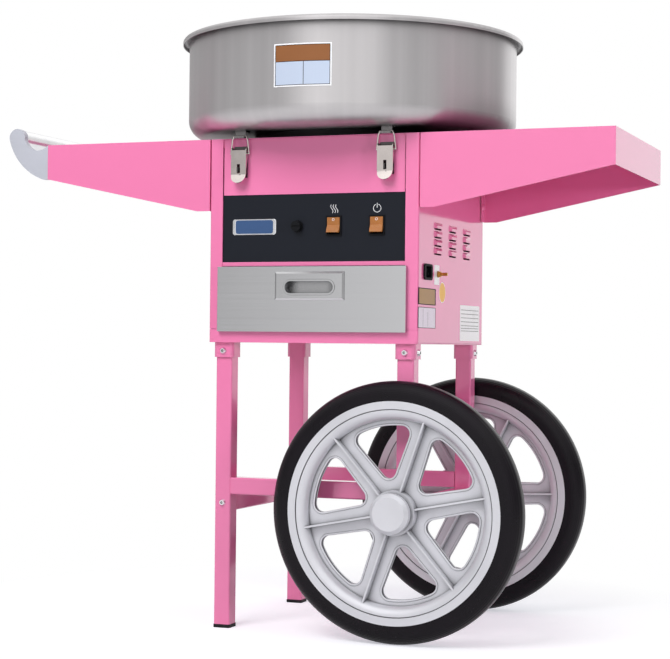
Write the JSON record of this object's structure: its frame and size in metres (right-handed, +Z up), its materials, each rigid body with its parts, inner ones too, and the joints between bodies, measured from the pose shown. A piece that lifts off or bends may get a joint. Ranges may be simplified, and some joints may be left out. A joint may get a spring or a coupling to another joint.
{
  "type": "cotton candy cart",
  "caption": "Pink cotton candy cart: a sheet-metal cabinet with a drawer and controls under a latched steel bowl, side trays and a push handle, on a tube frame with spoked wheels.",
  "frame": {"origin": "on the floor, under the middle of the cart's overall length and depth", "axes": "+X to the right seen from the control panel, along the trays; +Y to the back; +Z up"},
  "size_m": [0.9502, 0.52, 0.8815],
  "materials": {
    "pink_paint": "gloss",
    "panel_black": "satin",
    "stainless": "brushed",
    "polished_steel": "polished",
    "zinc_steel": "satin",
    "wheel_grey": "satin",
    "tyre_black": "matte",
    "rubber_black": "matte",
    "plastic_black": "satin",
    "amber_plastic": "gloss",
    "horn_grey": "satin",
    "spinner_aluminium": "satin",
    "motor_black": "satin",
    "brass": "polished",
    "copper": "satin"
  },
  "bodies": {
    "cart": {"base_pan": "pink_paint", "side_panel_left": "pink_paint", "side_panel_right": "pink_paint", "front_panel": "pink_paint", "rear_panel": "pink_paint", "top_plate": "pink_paint", "leg_front_left": "pink_paint", "leg_rear_left": "pink_paint", "leg_front_right": "pink_paint", "leg_rear_right": "pink_paint", "cross_braces": "pink_paint", "side_brace_left": "pink_paint", "side_brace_right": "pink_paint", "tray_left": "pink_paint", "tray_right": "pink_paint", "control_panel": "panel_black", "bowl": "stainless", "drawer_bay": "zinc_steel", "axle": "zinc_steel", "axle_nuts": "zinc_steel", "frame_screws": "polished_steel", "handle_bar": "polished_steel", "bowl_keepers": "polished_steel", "latch_bases": "polished_steel", "leg_caps": "rubber_black", "bowl_seat": "rubber_black", "motor_mounts": "rubber_black", "switch_housings": "plastic_black", "fuse_holder": "plastic_black", "power_inlet": "plastic_black", "brush_holder": "plastic_black", "handle_horns": "horn_grey", "capacitor": "spinner_aluminium", "motor": "motor_black", "earth_stud": "brass"},
    "drawer": {"drawer_box": "stainless", "drawer_front": "stainless", "drawer_pull": "stainless"},
    "front_wheel": {"wheel_front": "wheel_grey", "tyre_front": "tyre_black", "hub_cap_front": "wheel_grey"},
    "rear_wheel": {"wheel_rear": "wheel_grey", "tyre_rear": "tyre_black", "hub_cap_rear": "wheel_grey"},
    "spinner": {"spindle": "zinc_steel", "slip_ring": "copper", "spinner_pan": "spinner_aluminium", "heater_ring": "copper", "spinner_lid": "spinner_aluminium"},
    "heat_switch": {"heat_rocker": "amber_plastic"},
    "power_switch": {"power_rocker": "amber_plastic"},
    "fuse_knob": {"fuse_cap": "plastic_black"},
    "latch_front_left": {"lever_front_left": "polished_steel"},
    "loop_front_left": {"bail_front_left": "polished_steel"},
    "latch_front_right": {"lever_front_right": "polished_steel"},
    "loop_front_right": {"bail_front_right": "polished_steel"},
    "latch_rear_left": {"lever_rear_left": "polished_steel"},
    "loop_rear_left": {"bail_rear_left": "polished_steel"},
    "latch_rear_right": {"lever_rear_right": "polished_steel"},
    "loop_rear_right": {"bail_rear_right": "polished_steel"}
  },
  "joints": [
    {"name": "drawer_slide", "type": "slide", "parent": "cart", "child": "drawer", "axis": [0, -1, 0], "range_m": [0, 0.22]},
    {"name": "front_wheel_spin", "type": "hinge", "parent": "cart", "child": "front_wheel", "pos_m": [0.17305, -0.185, 0.185], "axis": [0, 1, 0], "continuous": true},
    {"name": "rear_wheel_spin", "type": "hinge", "parent": "cart", "child": "rear_wheel", "pos_m": [0.17305, 0.185, 0.185], "axis": [0, 1, 0], "continuous": true},
    {"name": "spinner_spin", "type": "hinge", "parent": "cart", "child": "spinner", "pos_m": [0.03155, 0, 0.76], "axis": [0, 0, 1], "continuous": true},
    {"name": "heat_rock", "type": "hinge", "parent": "cart", "child": "heat_switch", "pos_m": [0.06455, -0.1591, 0.5915], "axis": [1, 0, 0], "range_deg": [0, 24]},
    {"name": "power_rock", "type": "hinge", "parent": "cart", "child": "power_switch", "pos_m": [0.13055, -0.1591, 0.5915], "axis": [1, 0, 0], "range_deg": [0, 24]},
    {"name": "fuse_turn", "type": "hinge", "parent": "cart", "child": "fuse_knob", "pos_m": [0.00805, -0.1601, 0.5915], "axis": [0, -1, 0], "range_deg": [0, 90]},
    {"name": "lever_front_left_swing", "type": "hinge", "parent": "cart", "child": "latch_front_left", "pos_m": [-0.08225, -0.1673, 0.704], "axis": [-1, 0, 0], "range_deg": [0, 105]},
    {"name": "bail_front_left_swing", "type": "hinge", "parent": "latch_front_left", "child": "loop_front_left", "pos_m": [-0.08225, -0.16601, 0.69917], "axis": [-1, 0, 0], "range_deg": [-92, 0]},
    {"name": "lever_front_right_swing", "type": "hinge", "parent": "cart", "child": "latch_front_right", "pos_m": [0.14535, -0.1673, 0.704], "axis": [-1, 0, 0], "range_deg": [0, 105]},
    {"name": "bail_front_right_swing", "type": "hinge", "parent": "latch_front_right", "child": "loop_front_right", "pos_m": [0.14535, -0.16601, 0.69917], "axis": [-1, 0, 0], "range_deg": [-92, 0]},
    {"name": "lever_rear_left_swing", "type": "hinge", "parent": "cart", "child": "latch_rear_left", "pos_m": [-0.08225, 0.1673, 0.704], "axis": [1, 0, 0], "range_deg": [0, 105]},
    {"name": "bail_rear_left_swing", "type": "hinge", "parent": "latch_rear_left", "child": "loop_rear_left", "pos_m": [-0.08225, 0.16601, 0.69917], "axis": [1, 0, 0], "range_deg": [-92, 0]},
    {"name": "lever_rear_right_swing", "type": "hinge", "parent": "cart", "child": "latch_rear_right", "pos_m": [0.14535, 0.1673, 0.704], "axis": [1, 0, 0], "range_deg": [0, 105]},
    {"name": "bail_rear_right_swing", "type": "hinge", "parent": "latch_rear_right", "child": "loop_rear_right", "pos_m": [0.14535, 0.16601, 0.69917], "axis": [1, 0, 0], "range_deg": [-92, 0]}
  ],
  "couplings": [
    {"joint": "bail_front_left_swing", "follows": "lever_front_left_swing", "ratio": -0.861},
    {"joint": "bail_front_right_swing", "follows": "lever_front_right_swing", "ratio": -0.861},
    {"joint": "bail_rear_left_swing", "follows": "lever_rear_left_swing", "ratio": -0.861},
    {"joint": "bail_rear_right_swing", "follows": "lever_rear_right_swing", "ratio": -0.861}
  ]
}
